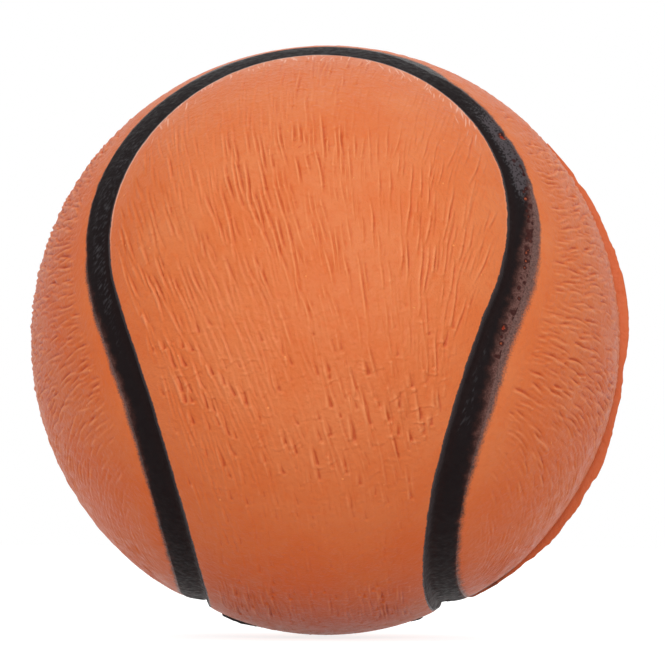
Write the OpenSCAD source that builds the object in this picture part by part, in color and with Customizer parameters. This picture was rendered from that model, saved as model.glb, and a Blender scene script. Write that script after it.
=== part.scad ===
// Moulded foam dodgeball: a light foam core inside a dense skin, made in a two-part mould.
// One painted seam groove winds round the ball and parts two interlocking dumbbell panels.
// +Z is up, the main panel's front lobe faces -Y, and the mould parts on the XZ plane.
// The groove's section is drawn flat: how far along the surface from the main panel's edge,
// and how high above the ball. Each station of the seam then lays that section on the ball.

/* [Ball] */
// Diameter over the skin
ball_d = 150; // [120:1:220]
// Thickness of the dense skin
skin_t = 4; // [3.5:0.1:8]
// Running gap between the foam core and the skin round it
core_gap = 0.1; // [0.05:0.05:0.5]

/* [Seam route, in degrees of arc on the ball] */
// Half the width of each panel's waist
waist = 22; // [20:0.5:24]
// Reach of the arc over the top of a lobe, from its own axis
crown_angle = 35; // [33:0.5:37]
// Half the sweep of that arc
crown_sweep = 31; // [25:1:36]
// Reach of the arc down each side of a lobe
cheek_angle = 45; // [44:0.5:47]
// Reach of the arc that turns the cheek back into the waist
neck_angle = 50; // [46:0.5:54]
// Reach of the arc along the waist
waist_angle = 85; // [75:1:100]

/* [Seam groove] */
// Width from the main panel's edge to where the flank reaches the surface
groove_w = 10; // [7:0.1:13]
// Depth of the floor under the ball's surface
groove_depth = 2.9; // [1.5:0.1:3.4]
// Width of the wall on the main panel's side
wall_w = 2.6; // [1.8:0.1:3.6]
// Rounding of the main panel's edge
panel_edge_r = 1.2; // [0.6:0.1:2]
// Rounding of the groove's floor
floor_r = 1.6; // [0.8:0.1:2.4]

/* [Seam paint] */
// Bare margin left between the coat and the top of the groove's flank
paint_margin = 1; // [0.4:0.1:3]
// Thickness of the coat
paint_t = 0.2; // [0.1:0.05:0.4]

/* [Parting line] */
// Thickness of the flash between the two halves of the skin
flash_t = 0.7; // [0.4:0.1:1.2]
// How far the widest part of the flash stands off the ball
flash_max = 1.9; // [1:0.1:3]
// Rounding of each skin's outer edge at the flash
mould_edge_r = 1.4; // [0.6:0.1:2.4]

/* [Hidden] */

orange = [0.86, 0.43, 0.22];
flash_orange = [0.80, 0.36, 0.18];
black = [0.10, 0.09, 0.09];
foam = [0.93, 0.87, 0.72];

ball_r = ball_d / 2;
core_r = ball_r - skin_t - core_gap;
cut_over = skin_t / 2;
turn_fn = 96;

// Stations on each quarter of the seam's crown, cheek, neck and waist arcs.
crown_steps = 6;
cheek_steps = 13;
neck_steps = 13;
waist_steps = 7;
edge_steps = 3;
floor_steps = 3;

// Width of the flash by the angle round the parting line, counter-clockwise from +X as the
// front shows it: ragged and widest on the right, trimmed close on the top, left and bottom.
flash_shares = [
    [-180, 0.30], [-150, 0.25], [-120, 0.18], [-90, 0.12], [-65, 0.15], [-50, 0.30], [-43, 0.60],
    [-35, 0.72], [-30, 0.62], [-24, 0.78], [-17, 0.45], [-11, 0.42], [-6, 0.20], [-2, 0.45],
    [4, 1.00], [9, 0.90], [15, 0.66], [22, 0.50], [30, 0.38], [38, 0.30], [50, 0.20], [90, 0.15],
    [130, 0.22], [180, 0.30]
];
flash_steps = 180;

function unit(v) = v / norm(v);
function reversed(list) = [for (i = [len(list) - 1:-1:0]) list[i]];
function deg_of(length) = length / ball_r * 180 / PI;

// Direction reached by turning unit vector p towards q through an angle.
function turned(p, q, angle) = cos(angle) * p + sin(angle) * unit(q - (q * p) * p);

// Points that round the corner b between a and c with an arc of radius r.
function fillet(a, b, c, r, n) =
    let (
        u = unit(a - b), v = unit(c - b), half = acos(u * v) / 2, turn = 180 - 2 * half,
        hub = b + unit(u + v) * r / sin(half),
        p = b + u * r / tan(half) - hub, q = b + v * r / tan(half) - hub
    )
    [for (i = [0:n]) hub + (p * sin((1 - i / n) * turn) + q * sin(i / n * turn)) / sin(turn)];

// Axes of the four arcs on the front right quarter. Each is tangent to the next: the crown lies
// inside the cheek, the neck curves the other way, and the waist crosses the parting plane square.
crown_up = 90 - waist - crown_angle;
crown_axis = [0, -cos(crown_up), sin(crown_up)];
crown_top = [0, sin(crown_up), cos(crown_up)];
crown_out = cos(crown_sweep) * crown_top + sin(crown_sweep) * [1, 0, 0];
cheek_axis = cos(crown_angle - cheek_angle) * crown_axis + sin(crown_angle - cheek_angle) * crown_out;
waist_axis = [sin(waist + waist_angle), 0, -cos(waist + waist_angle)];
neck_axis = meeting(cheek_axis, cheek_angle + neck_angle, waist_axis, waist_angle - neck_angle);

// Unit vector at one angle from p and another from q, on the front side of the ball.
function meeting(p, p_angle, q, q_angle) =
    let (
        g = p * q, a = cos(p_angle), b = cos(q_angle),
        flat = ((a - g * b) * p + (b - g * a) * q) / (1 - g * g),
        up = cross(p, q), rise = sqrt((1 - flat * flat) / (up * up)),
        one = flat + rise * up, other = flat - rise * up
    )
    one[1] < other[1] ? one : other;

crown_end = turned(crown_axis, crown_out, crown_angle);
cheek_end = turned(cheek_axis, neck_axis, cheek_angle);
neck_end = turned(waist_axis, neck_axis, waist_angle);
waist_end = [sin(waist), 0, -cos(waist)];

// Stations along an arc round an axis, from one point to another. Each is a place on the unit
// ball and the way out from the main panel, which is away from the axis or towards it.
function arc_stations(axis, from, to, outward, n) =
    let (
        x = unit(from - (from * axis) * axis), y = cross(axis, x),
        rise = from * axis, reach = norm(cross(from, axis)), sweep = atan2(to * y, to * x)
    )
    [for (i = [0:n - 1])
        let (side = cos(sweep * i / n) * x + sin(sweep * i / n) * y)
        [rise * axis + reach * side, outward * (rise * side - reach * axis)]];

quarter = concat(
    arc_stations(crown_axis, turned(crown_axis, crown_top, crown_angle), crown_end, 1, crown_steps),
    arc_stations(cheek_axis, crown_end, cheek_end, 1, cheek_steps),
    arc_stations(neck_axis, cheek_end, neck_end, -1, neck_steps),
    arc_stations(waist_axis, neck_end, waist_end, -1, waist_steps),
    [[waist_end, [cos(waist), 0, sin(waist)]]]
);

// A copy of the quarter mirrored by signs on x and y, without its last station.
function mirrored(stations, sx, sy) =
    [for (i = [0:len(stations) - 2]) [for (v = stations[i]) [sx * v[0], sy * v[1], v[2]]]];

seam = concat(
    mirrored(quarter, 1, 1), mirrored(reversed(quarter), 1, -1),
    mirrored(quarter, -1, -1), mirrored(reversed(quarter), -1, 1)
);

// Section of the groove, from the main panel's edge down to the floor and up the flank.
panel_side = [-groove_w, 0];
edge_corner = [0, 0];
floor_corner = [wall_w, -groove_depth];
flank_top = [groove_w, 0];
groove_line = concat(
    fillet(panel_side, edge_corner, floor_corner, panel_edge_r, edge_steps),
    fillet(edge_corner, floor_corner, flank_top, floor_r, floor_steps),
    [flank_top]
);
run_out_share = 0.2;
run_in = 2 * groove_line[0] - groove_line[1];
run_out = flank_top + (flank_top - floor_corner) * run_out_share;
cutter_section = concat(
    [[run_in[0], cut_over], run_in],
    [for (i = [1:len(groove_line) - 2]) groove_line[i]],
    [run_out, [run_out[0], cut_over]]
);

// Section of the coat: it lies on the groove and thins to nothing at both edges.
paint_w = groove_w - paint_margin;
coat_in = [0, lookup(0, groove_line)];
coat_out = [paint_w, lookup(paint_w, groove_line)];
coat_bed = [for (p = groove_line) if (p[0] > coat_in[0] && p[0] < coat_out[0]) p];
coat_section = concat(
    [coat_in], coat_bed, [coat_out], [for (p = reversed(coat_bed)) p + [0, paint_t]]
);

// A closed section carried once round the seam.
module seam_sweep(section) {
    n = len(section);
    m = len(seam);
    points = [for (s = seam, p = section)
        (ball_r + p[1]) * (cos(deg_of(p[0])) * s[0] + sin(deg_of(p[0])) * s[1])];
    faces = [for (i = [0:m - 1], j = [0:n - 1])
        let (a = i * n + j, b = i * n + (j + 1) % n, c = (i + 1) % m * n + j, d = (i + 1) % m * n + (j + 1) % n)
        each [[a, d, b], [a, c, d]]];
    polyhedron(points, faces);
}

module seam_cutter() {
    seam_sweep(cutter_section);
}

module foam_core() {
    color(foam) sphere(r = core_r, $fn = turn_fn);
}

edge_share = 0.1;

// What rounds the front skin's outer edge where it meets the flash.
module mould_edge_cutter() {
    land = flash_t / 2;
    edge = fillet([core_r, land], [ball_r, land], [ball_r, ball_r], mould_edge_r, edge_steps);
    rotate([90, 0, 0]) rotate_extrude($fn = turn_fn)
        polygon(concat(edge, [[ball_r + cut_over, ball_r * edge_share], [ball_r + cut_over, 0], [edge[0][0], 0]]));
}

// The front half of the skin as it would leave a plain mould, with no seam groove. The balls
// are turned so that their poles lie clear of the seam.
module skin_blank() {
    difference() {
        rotate([90, 0, 0]) sphere(r = ball_r, $fn = turn_fn);
        rotate([90, 0, 0]) sphere(r = ball_r - skin_t, $fn = turn_fn);
        translate([-ball_d, -flash_t / 2, -ball_d]) cube(2 * ball_d);
        mould_edge_cutter();
    }
}

module front_skin() {
    color(orange) difference() {
        skin_blank();
        seam_cutter();
    }
}

module back_skin() {
    mirror([0, 1, 0]) front_skin();
}

module parting_flash() {
    color(flash_orange) difference() {
        rotate([90, 0, 0]) linear_extrude(height = flash_t, center = true) difference() {
            polygon([for (i = [0:flash_steps - 1])
                let (a = i * 360 / flash_steps - 180, r = ball_r + flash_max * lookup(a, flash_shares))
                r * [cos(a), sin(a)]]);
            circle(r = ball_r - skin_t, $fn = turn_fn);
        }
        seam_cutter();
    }
}

module seam_paint() {
    color(black) seam_sweep(coat_section);
}

foam_core();
front_skin();
back_skin();
parting_flash();
seam_paint();
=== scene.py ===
# Soft moulded foam ball: a foam core, a dense two-part skin with a winding seam groove, the thin
# flash where the mould parted, and black paint sprayed into the groove. Metres, +Z up, and the
# front lobe of the main panel faces -Y.
import math

import bpy
import numpy as np
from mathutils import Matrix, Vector


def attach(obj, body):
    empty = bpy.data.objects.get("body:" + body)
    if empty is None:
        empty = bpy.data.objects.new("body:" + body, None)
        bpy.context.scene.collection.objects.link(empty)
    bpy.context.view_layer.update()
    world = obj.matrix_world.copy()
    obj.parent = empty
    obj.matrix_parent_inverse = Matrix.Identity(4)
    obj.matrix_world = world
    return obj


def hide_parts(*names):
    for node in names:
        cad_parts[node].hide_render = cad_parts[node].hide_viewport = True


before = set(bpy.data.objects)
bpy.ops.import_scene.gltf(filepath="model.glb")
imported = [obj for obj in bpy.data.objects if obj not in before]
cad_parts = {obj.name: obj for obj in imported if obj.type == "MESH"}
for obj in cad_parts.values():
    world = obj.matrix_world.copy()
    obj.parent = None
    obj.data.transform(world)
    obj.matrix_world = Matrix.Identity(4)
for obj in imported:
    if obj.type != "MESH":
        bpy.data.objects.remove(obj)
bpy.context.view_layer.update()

# Studio
# A plain pale floor under a white surround. Two soft lamps stand in front, high and level, a
# weak one hangs behind, and the camera stands well back with a long lens, a little below the
# middle of the ball.
mm = 0.001
ball_radius = 75 * mm
view_distance = 12.5 * ball_radius
view_turn = math.radians(5.2)
view_rise = math.radians(-3)
view_roll = math.radians(0.3)
# Each lamp's place and width in metres, and its power in watts.
lamps = {
    "top_lamp": ((0.08, -0.66, 0.9), 0.36, 2.5),
    "front_lamp": ((0.16, -1.03, 0.22), 0.36, 3.3),
    "back_lamp": ((0, 0.5, 1.15), 0.9, 1.2),
}
plain_white = (1, 1, 1, 1)
surround_light = 0.6
floor_level = -75.35 * mm
floor_half = 6.0
floor_grey = (0.7, 0.7, 0.7, 1)
floor_glow = 0.8

bpy.context.scene.view_settings.view_transform = "Standard"
camera = bpy.data.objects.new("camera", bpy.data.cameras.new("camera"))
bpy.context.scene.collection.objects.link(camera)
bpy.context.scene.camera = camera
camera.data.lens = 200
camera.data.sensor_width = 36
camera.data.shift_x = 0.0083
camera.data.shift_y = 0.0113
camera.data.clip_start = 10 * mm
camera.location = view_distance * Vector((
    math.sin(view_turn) * math.cos(view_rise), -math.cos(view_turn) * math.cos(view_rise),
    math.sin(view_rise)))
aim = (-camera.location).to_track_quat("-Z", "Y")
camera.rotation_euler = (aim.to_matrix() @ aim.to_matrix().Rotation(view_roll, 3, "Z")).to_euler()

for name, (place, width, power) in lamps.items():
    light = bpy.data.lights.new(name, "AREA")
    light.size = width
    light.energy = power
    lamp = bpy.data.objects.new(name, light)
    lamp.location = place
    lamp.rotation_euler = (-Vector(place)).to_track_quat("-Z", "Y").to_euler()
    bpy.context.scene.collection.objects.link(lamp)


def put(tree, socket, value):
    """Sets a socket to a value, or links it to another socket."""
    if isinstance(value, bpy.types.NodeSocket):
        tree.links.new(value, socket)
    else:
        socket.default_value = value


def sums(tree, operation, *values):
    """What one Math node gives."""
    node = tree.nodes.new("ShaderNodeMath")
    node.operation = operation
    for socket, value in zip(node.inputs, values):
        put(tree, socket, value)
    return node.outputs[0]


def white_to_the_lens(tree, lit, white):
    """Mixes two shaders: the camera, gloss and clear stuff see the white one, all else the lit one."""
    path = tree.nodes.new("ShaderNodeLightPath").outputs
    seen = sums(tree, "MAXIMUM", path["Is Camera Ray"], path["Is Glossy Ray"])
    seen = sums(tree, "MAXIMUM", seen, path["Is Transmission Ray"])
    mix = tree.nodes.new("ShaderNodeMixShader")
    tree.links.new(seen, mix.inputs["Fac"])
    tree.links.new(lit, mix.inputs[1])
    tree.links.new(white, mix.inputs[2])
    return mix.outputs[0]


world = bpy.data.worlds.new("surround")
bpy.context.scene.world = world
world.use_nodes = True
tree = world.node_tree
tree.nodes.clear()
dim = tree.nodes.new("ShaderNodeBackground")
dim.inputs["Color"].default_value = plain_white
dim.inputs["Strength"].default_value = surround_light
white = tree.nodes.new("ShaderNodeBackground")
white.inputs["Color"].default_value = plain_white
white.inputs["Strength"].default_value = 1
surface = tree.nodes.new("ShaderNodeOutputWorld")
tree.links.new(white_to_the_lens(tree, dim.outputs[0], white.outputs[0]), surface.inputs["Surface"])

floor_mesh = bpy.data.meshes.new("floor")
floor_mesh.from_pydata(
    [(x * floor_half, y * floor_half, floor_level) for x, y in ((-1, -1), (1, -1), (1, 1), (-1, 1))],
    [], [(0, 1, 2, 3)])
floor = bpy.data.objects.new("floor", floor_mesh)
bpy.context.scene.collection.objects.link(floor)
floor_white = bpy.data.materials.new("floor_white")
floor_white.use_nodes = True
tree = floor_white.node_tree
tree.nodes.clear()
matte = tree.nodes.new("ShaderNodeBsdfDiffuse")
matte.inputs["Color"].default_value = floor_grey
glow = tree.nodes.new("ShaderNodeEmission")
glow.inputs["Strength"].default_value = floor_glow
both = tree.nodes.new("ShaderNodeAddShader")
tree.links.new(matte.outputs[0], both.inputs[0])
tree.links.new(glow.outputs[0], both.inputs[1])
surface = tree.nodes.new("ShaderNodeOutputMaterial")
tree.links.new(white_to_the_lens(tree, matte.outputs[0], both.outputs[0]), surface.inputs["Surface"])
floor_mesh.materials.append(floor_white)

# Foam core
# A ball of open-cell foam, cast first. The skin is moulded round it and bonds to it, so nothing
# of it shows on a whole ball.
core_radius = 70.9 * mm
core_cells = 90
core_dimple = 1.8 * mm
core_dimple_depth = 0.09 * mm
core_pore = 1.1 * mm
core_pore_depth = 0.3 * mm
core_colour = (232, 214, 172)
core_pale_colour = (244, 230, 196)
core_pore_shade = (205, 182, 134)


def chance(salt, *cells):
    """A fixed number from 0 to 1 for each lattice cell: the whole-number coordinates and the salt
    are multiplied by odd numbers and folded together in 32 bits."""
    mixed = np.full(np.broadcast(*cells).shape, salt * 40503 + 977, np.uint32)
    for cell, odd in zip(cells, (0x9E3779B1, 0x85EBCA77, 0xC2B2AE3D)):
        mixed = (mixed ^ np.asarray(cell).astype(np.int64).astype(np.uint32)) * np.uint32(odd)
        mixed ^= mixed >> np.uint32(15)
    mixed *= np.uint32(0x27D4EB2F)
    mixed ^= mixed >> np.uint32(13)
    return mixed / 2.0**32


def smooth(low, high, value):
    """0 below low, 1 above high, and an S curve between: 3t^2 - 2t^3."""
    t = np.clip((value - low) / (high - low), 0, 1)
    return t * t * (3 - 2 * t)


def band(value, low, full, fade, high):
    """0 below low, 1 from full to fade, 0 above high, and S curves between."""
    return smooth(low, full, value) * (1 - smooth(fade, high, value))


def lumps(places, size, salt):
    """Value noise from -1 to 1: each cell corner of a cubic lattice has its chance, and a place
    blends its eight corners with S curves."""
    at = places / size
    cell = np.floor(at).astype(np.int64)
    part = smooth(0, 1, at - cell)
    total = 0
    for i in (0, 1):
        for j in (0, 1):
            for k in (0, 1):
                weight = (np.abs(1 - i - part[:, 0]) * np.abs(1 - j - part[:, 1])
                          * np.abs(1 - k - part[:, 2]))
                total = total + weight * chance(salt, cell[:, 0] + i, cell[:, 1] + j, cell[:, 2] + k)
    return 2 * total - 1


def half_ball(cells, edge=1.0):
    """Directions over the half ball round -Y, on a square grid. The square is pressed into a disc
    ring by ring, keeping areas, and the disc is raised to the half ball so that areas stay equal:
    sin(half the tilt) = reach / sqrt(2). An edge below 1 stops short of the rim. Also gives each
    point's place on the square, from -1 to 1."""
    line = np.linspace(-1, 1, cells + 1)
    a, b = [m.ravel() for m in np.meshgrid(line, line)]
    wide = np.abs(a) >= np.abs(b)
    reach = np.where(wide, a, b)
    safe = np.where(np.abs(reach) < 1e-12, 1, reach)
    angle = np.where(wide, math.pi / 4 * b / safe, math.pi / 2 - math.pi / 4 * a / safe)
    tilt = 2 * np.arcsin(reach * edge / math.sqrt(2))
    dirs = np.column_stack([np.sin(tilt) * np.cos(angle), -np.cos(tilt), np.sin(tilt) * np.sin(angle)])
    return dirs, np.column_stack([a, b])


def grid_faces(rows, columns, start=0):
    """The quads of a grid of rows x columns points, numbered row by row."""
    corner = start + (np.arange(rows - 1)[:, None] * columns + np.arange(columns - 1)).ravel()
    return np.column_stack([corner, corner + 1, corner + columns + 1, corner + columns])


def square_border(cells):
    """The numbers of the border points of a square grid, once round."""
    side = cells + 1
    low = np.arange(cells)
    return np.concatenate([low, cells + side * low, side * side - 1 - low, side * (cells - low)])


def laid(name, places, faces, corners_uv=None, marks=None):
    """Puts a mesh in the scene from whole arrays: places, a list of face arrays of 3 or 4 corners,
    a place on the map for each corner, and named numbers for each point."""
    mesh = bpy.data.meshes.new(name)
    mesh.vertices.add(len(places))
    mesh.vertices.foreach_set("co", np.asarray(places, np.float32).ravel())
    corners = np.concatenate([f.ravel() for f in faces]).astype(np.int32)
    sizes = np.concatenate([np.full(len(f), f.shape[1]) for f in faces]).astype(np.int32)
    mesh.loops.add(len(corners))
    mesh.loops.foreach_set("vertex_index", corners)
    mesh.polygons.add(len(sizes))
    mesh.polygons.foreach_set("loop_start", (np.cumsum(sizes) - sizes).astype(np.int32))
    mesh.update(calc_edges=True)
    mesh.polygons.foreach_set("use_smooth", np.ones(len(sizes), bool))
    if corners_uv is not None:
        layer = mesh.uv_layers.new(name="OFBake")
        layer.uv.foreach_set("vector", np.asarray(corners_uv, np.float32).ravel())
    for mark, values in (marks or {}).items():
        attribute = mesh.attributes.new(mark, "FLOAT", "POINT")
        attribute.data.foreach_set("value", np.asarray(values, np.float32))
    obj = bpy.data.objects.new(name, mesh)
    bpy.context.scene.collection.objects.link(obj)
    return obj


def colour(*screen):
    """A colour read off a screen, red, green and blue from 0 to 255, as light: ((c + 0.055) /
    1.055)^2.4 where c runs from 0 to 1, and c / 12.92 where it is nearly black."""
    levels = [c / 255 for c in screen]
    return (*[((c + 0.055) / 1.055)**2.4 if c > 0.04045 else c / 12.92 for c in levels], 1)


def new_finish(name, roughness, gloss=0.5):
    """A new material: its name, its node tree and its shader."""
    material = bpy.data.materials.new(name)
    material.use_nodes = True
    shader = material.node_tree.nodes["Principled BSDF"]
    shader.inputs["Roughness"].default_value = roughness
    shader.inputs["Specular IOR Level"].default_value = gloss
    return material, material.node_tree, shader


def mottle(tree, size, detail=2.0, stretch=None, turn=0.0):
    """Noise from 0 to 1 over the piece, with features of about this size. They may be stretched
    along the axes, and then turned about Y."""
    place = tree.nodes.new("ShaderNodeTexCoord").outputs["Object"]
    if stretch:
        mapping = tree.nodes.new("ShaderNodeMapping")
        mapping.vector_type = "TEXTURE"
        mapping.inputs["Rotation"].default_value = (0, turn, 0)
        mapping.inputs["Scale"].default_value = stretch
        tree.links.new(place, mapping.inputs["Vector"])
        place = mapping.outputs[0]
    noise = tree.nodes.new("ShaderNodeTexNoise")
    noise.inputs["Scale"].default_value = 1 / size
    noise.inputs["Detail"].default_value = detail
    tree.links.new(place, noise.inputs["Vector"])
    return noise.outputs["Fac"]


def spots(tree, apart):
    """How far each place lies from the nearest of many scattered points, as a share of the
    distance at which they lie apart."""
    cells = tree.nodes.new("ShaderNodeTexVoronoi")
    cells.inputs["Scale"].default_value = 1 / apart
    tree.links.new(tree.nodes.new("ShaderNodeTexCoord").outputs["Object"], cells.inputs["Vector"])
    return cells.outputs["Distance"]


def between(tree, value, low, high, to_low=0.0, to_high=1.0):
    """An S curve from one output to another as the value goes from low to high."""
    node = tree.nodes.new("ShaderNodeMapRange")
    node.interpolation_type = "SMOOTHSTEP"
    for name, given in (("Value", value), ("From Min", low), ("From Max", high), ("To Min", to_low),
                        ("To Max", to_high)):
        put(tree, node.inputs[name], given)
    return node.outputs["Result"]


def blended(tree, share, first, second):
    """A share of the second colour over the first."""
    node = tree.nodes.new("ShaderNodeMix")
    node.data_type = "RGBA"
    put(tree, node.inputs[0], share)
    put(tree, node.inputs[6], first)
    put(tree, node.inputs[7], second)
    return node.outputs[2]


def tinted(tree, base, tint, value, low, high, most=1.0):
    """A tint laid over a colour. Its share rises from 0 to most as the value goes from low to high."""
    return blended(tree, between(tree, value, low, high, 0.0, most), base, tint)


def bumped(tree, shader, heights):
    """Lays fine relief on the shader, from pairs of a height from 0 to 1 and its depth."""
    normal = None
    for height, depth in heights:
        node = tree.nodes.new("ShaderNodeBump")
        node.inputs["Distance"].default_value = depth
        tree.links.new(height, node.inputs["Height"])
        if normal:
            tree.links.new(normal, node.inputs["Normal"])
        normal = node.outputs["Normal"]
    tree.links.new(normal, shader.inputs["Normal"])


# The front and the back of the core share the points of their rim.
dirs, _ = half_ball(core_cells)
inner = np.setdiff1d(np.arange(len(dirs)), square_border(core_cells))
all_dirs = np.vstack([dirs, dirs[inner] * (1, -1, 1)])
back_number = np.arange(len(dirs))
back_number[inner] = len(dirs) + np.arange(len(inner))
front_faces = grid_faces(core_cells + 1, core_cells + 1)
radius = core_radius + core_dimple_depth * (lumps(all_dirs * core_radius, core_dimple, 3) - 1)
core = laid("foam_core_cast", all_dirs * radius[:, None], [front_faces, back_number[front_faces][:, ::-1]])
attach(core, "root")
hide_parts("foam_core")

foam, tree, shader = new_finish("open_cell_foam", 0.95, 0.2)
pores = between(tree, spots(tree, core_pore), 0.15, 0.5)
foam_colour = blended(tree, mottle(tree, 9 * mm, 3), colour(*core_colour), colour(*core_pale_colour))
# Painted shade: the pores are coloured darker, where shade falls into them.
tree.links.new(blended(tree, pores, foam_colour, colour(*core_pore_shade)), shader.inputs["Base Color"])
bumped(tree, shader, [(sums(tree, "SUBTRACT", 1.0, pores), core_pore_depth),
                      (mottle(tree, 0.5 * mm), 0.1 * mm)])
core.data.materials.append(foam)

# Skin halves
# Two half shells of dense foam skin, each moulded in one piece with its panels, groove and
# creases, and bonded to the core. The main panel winds over the front, under the ball and up
# the back, and the side panel over the top, so the groove between them is one closed line.
skin_inside = 71 * mm
mould_land = 0.35 * mm
mould_round = 1.4 * mm
crease_room = 0.3 * mm
corner_round = 6 * mm
corner_reach = 12 * mm
wander_start = 12 * mm
groove_wide = 10 * mm
groove_deep = 2.9 * mm
wall_wide = 2.3 * mm
floor_blend = 1.5 * mm
flank_blend = 1.3 * mm
main_sink = 0.75 * mm
main_sink_reach = 11 * mm
side_sink = 0.3 * mm
side_sink_reach = 9 * mm
waist, crown_angle, crown_sweep, cheek_angle, neck_angle, waist_angle = np.radians([22, 35, 31, 45, 50, 85])


def unit(v):
    """A vector made one long."""
    return v / np.linalg.norm(v)


def turned(p, q, angle):
    """The direction reached by turning unit vector p towards q through an angle."""
    return math.cos(angle) * p + math.sin(angle) * unit(q - (q @ p) * p)


def meeting(p, p_angle, q, q_angle):
    """The unit vector at one angle from p and another from q, on the front side."""
    g, a, b = p @ q, math.cos(p_angle), math.cos(q_angle)
    flat = ((a - g * b) * p + (b - g * a) * q) / (1 - g * g)
    up = np.cross(p, q)
    rise = math.sqrt((1 - flat @ flat) / (up @ up))
    return min(flat + rise * up, flat - rise * up, key=lambda v: v[1])


# The seam on the front right quarter is four arcs, each tangent to the next.
across_x = np.array([1.0, 0, 0])
crown_up = math.pi / 2 - waist - crown_angle
crown_axis = np.array([0, -math.cos(crown_up), math.sin(crown_up)])
crown_top = np.array([0, math.sin(crown_up), math.cos(crown_up)])
crown_out = math.cos(crown_sweep) * crown_top + math.sin(crown_sweep) * across_x
cheek_axis = (math.cos(crown_angle - cheek_angle) * crown_axis
              + math.sin(crown_angle - cheek_angle) * crown_out)
waist_axis = np.array([math.sin(waist + waist_angle), 0, -math.cos(waist + waist_angle)])
neck_axis = meeting(cheek_axis, cheek_angle + neck_angle, waist_axis, waist_angle - neck_angle)
crown_start = turned(crown_axis, crown_top, crown_angle)
crown_end = turned(crown_axis, crown_out, crown_angle)
cheek_end = turned(cheek_axis, neck_axis, cheek_angle)
neck_end = turned(waist_axis, neck_axis, waist_angle)
waist_end = np.array([math.sin(waist), 0, -math.cos(waist)])


def seam_gap(dirs):
    """How far each direction lies outside the main panel, along the surface, negative inside it.
    Planes through an arc's axis and its ends part the quarter into four sectors, and in each the
    gap is the angle from that arc's axis less its radius, or the other way about."""
    q = np.column_stack([np.abs(dirs[:, 0]), -np.abs(dirs[:, 1]), dirs[:, 2]])

    def off(axis):
        """The angle from an axis."""
        return np.arccos(np.clip(q @ axis, -1, 1))

    def beside(axis, joint, inside):
        """Whether it lies on the same side as inside of the plane through an axis and a joint."""
        plane = np.cross(axis, joint)
        return (q @ plane) * np.sign(inside @ plane) > 0

    gap = np.where(
        beside(crown_axis, crown_end, crown_start), off(crown_axis) - crown_angle,
        np.where(beside(cheek_axis, cheek_end, crown_end), off(cheek_axis) - cheek_angle,
                 np.where(beside(waist_axis, neck_end, waist_end), waist_angle - off(waist_axis),
                          neck_angle - off(neck_axis))))
    return gap * ball_radius


# By height up the ball: how far the real seam wanders out from the even one, the width of the
# solid black coat and the width out to its last thin spray, on the left and on the right. All mm.
seam_heights = [-60, -40, -20, 0, 20, 40, 55, 64, 69]
wander_left = [0.3, 0.1, 0, 0.6, 0.8, 1.0, 0.9, 1.5, 2.0]
wander_right = [0, -0.4, -0.1, -0.1, 0.2, 1.6, 2.1, 2.5, 2.4]
solid_left = [8.4, 8.2, 7.2, 7.7, 8.6, 11.0, 12.6, 13.2, 15]
solid_right = [8.6, 8.5, 7.7, 5.5, 5.0, 8.6, 8.9, 9.1, 14]
coat_left = [9.1, 9.2, 9.4, 9.6, 9.3, 11.2, 12.8, 13.4, 15.2]
coat_right = [9.2, 9.6, 11.2, 10.7, 11.2, 9.8, 9.7, 9.8, 14.2]
middle_blend = 14 * mm


def by_side(dirs, left, right):
    """Reads two columns by height and blends the left one into the right across the middle. The
    back of the ball has them the other way about."""
    height = dirs[:, 2] * ball_radius / mm
    share = smooth(-middle_blend, middle_blend, -np.sign(dirs[:, 1]) * dirs[:, 0] * ball_radius)
    return mm * ((1 - share) * np.interp(height, seam_heights, left)
                 + share * np.interp(height, seam_heights, right))


def panel_gap(dirs):
    """The gap from the main panel's edge as this ball came out of its mould: the seam's, less a
    slow wander, with a fine waver, and with the panel's corners rounded where the mould parted."""
    places = dirs * ball_radius
    off_parting = np.abs(dirs[:, 1]) * ball_radius
    steady = smooth(0, wander_start, off_parting)
    into = np.clip(1 - off_parting / corner_round, 0, 1)
    waver = 0.14 * lumps(places, 3.2 * mm, 90) + 0.08 * lumps(places, 1.1 * mm, 91)
    return (seam_gap(dirs) - steady * by_side(dirs, wander_left, wander_right) + waver * mm
            + corner_round * (1 - np.sqrt(1 - into**2)) * 0.5)


def lesser(a, b, blend):
    """The lesser of two heights, rounded where they cross within the blend."""
    h = np.clip(blend - np.abs(a - b), 0, None) / blend
    return np.minimum(a, b) - h * h * blend / 4


def groove_height(gap, wide, edge_blend):
    """The height of the groove by the gap: a steep wall, a rounded floor and a long flank that
    rises to the side panel, rounded into both panels. The panels sink a little towards it."""
    wall = -groove_deep / wall_wide * gap
    flank = groove_deep * (gap - wide) / (wide - wall_wide)
    cut = -lesser(-wall, -flank, floor_blend)
    on_main = gap < wide / 2
    sink_in = main_sink * np.exp(np.minimum(gap, 0) / main_sink_reach)
    sink_out = side_sink * np.exp(-np.maximum(gap - wide, 0) / side_sink_reach)
    return lesser(-np.where(on_main, sink_in, sink_out), cut, np.where(on_main, edge_blend, flank_blend))


def blend_table(rows, columns, table, y, x):
    """Bilinear blend of a small table of values by row and column places."""
    r = np.interp(y, rows, np.arange(len(rows)))
    c = np.interp(x, columns, np.arange(len(columns)))
    i, j = np.minimum(r.astype(int), len(rows) - 2), np.minimum(c.astype(int), len(columns) - 2)
    u, v = r - i, c - j
    table = np.asarray(table, float)
    return ((1 - u) * ((1 - v) * table[i, j] + v * table[i, j + 1])
            + u * ((1 - v) * table[i + 1, j] + v * table[i + 1, j + 1]))


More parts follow.
